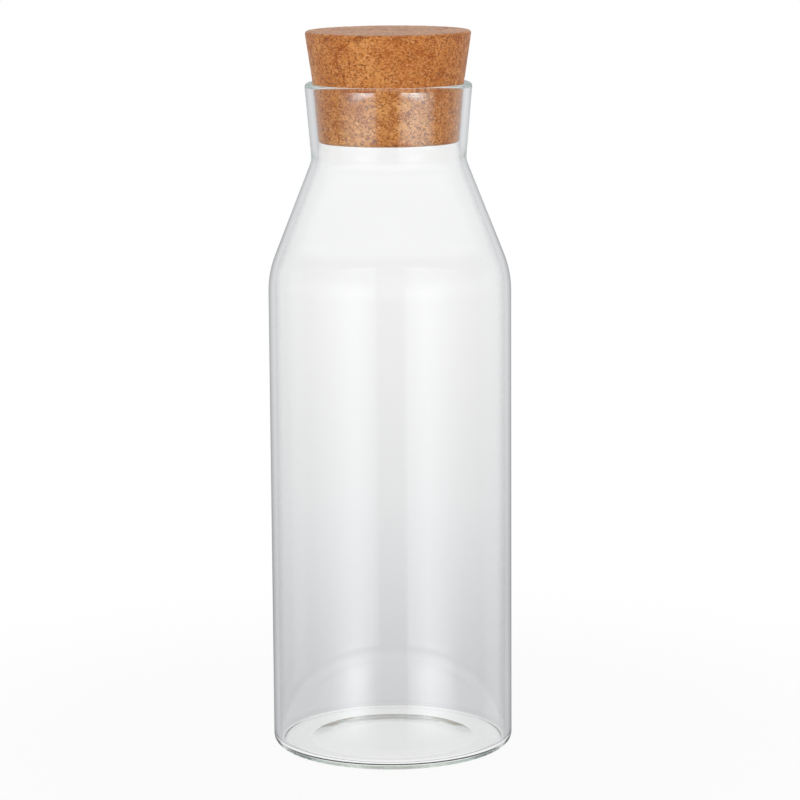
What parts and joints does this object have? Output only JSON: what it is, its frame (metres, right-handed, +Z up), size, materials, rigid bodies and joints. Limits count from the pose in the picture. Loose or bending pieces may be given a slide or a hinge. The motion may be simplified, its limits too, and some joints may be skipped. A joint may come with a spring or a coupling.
{
  "type": "glass bottle with cork stopper",
  "caption": "Tall clear glass storage bottle with a straight round body, a conical shoulder and a flared neck, closed by a tapered cork stopper that pulls straight out.",
  "frame": {"origin": "middle of the ring that the bottle stands on", "axes": "+Z up along the common axis of the bottle and the stopper; X and Y lie anywhere, because both pieces are round"},
  "size_m": [0.09, 0.09, 0.268],
  "materials": {
    "clear_glass": "polished",
    "cork": "matte"
  },
  "bodies": {
    "bottle": {"glass_bottle": "clear_glass"},
    "stopper": {"cork_stopper": "cork"}
  },
  "joints": [
    {"name": "stopper_lift", "type": "slide", "parent": "bottle", "child": "stopper", "axis": [0, 0, 1], "range_m": [0, 0.06]}
  ]
}
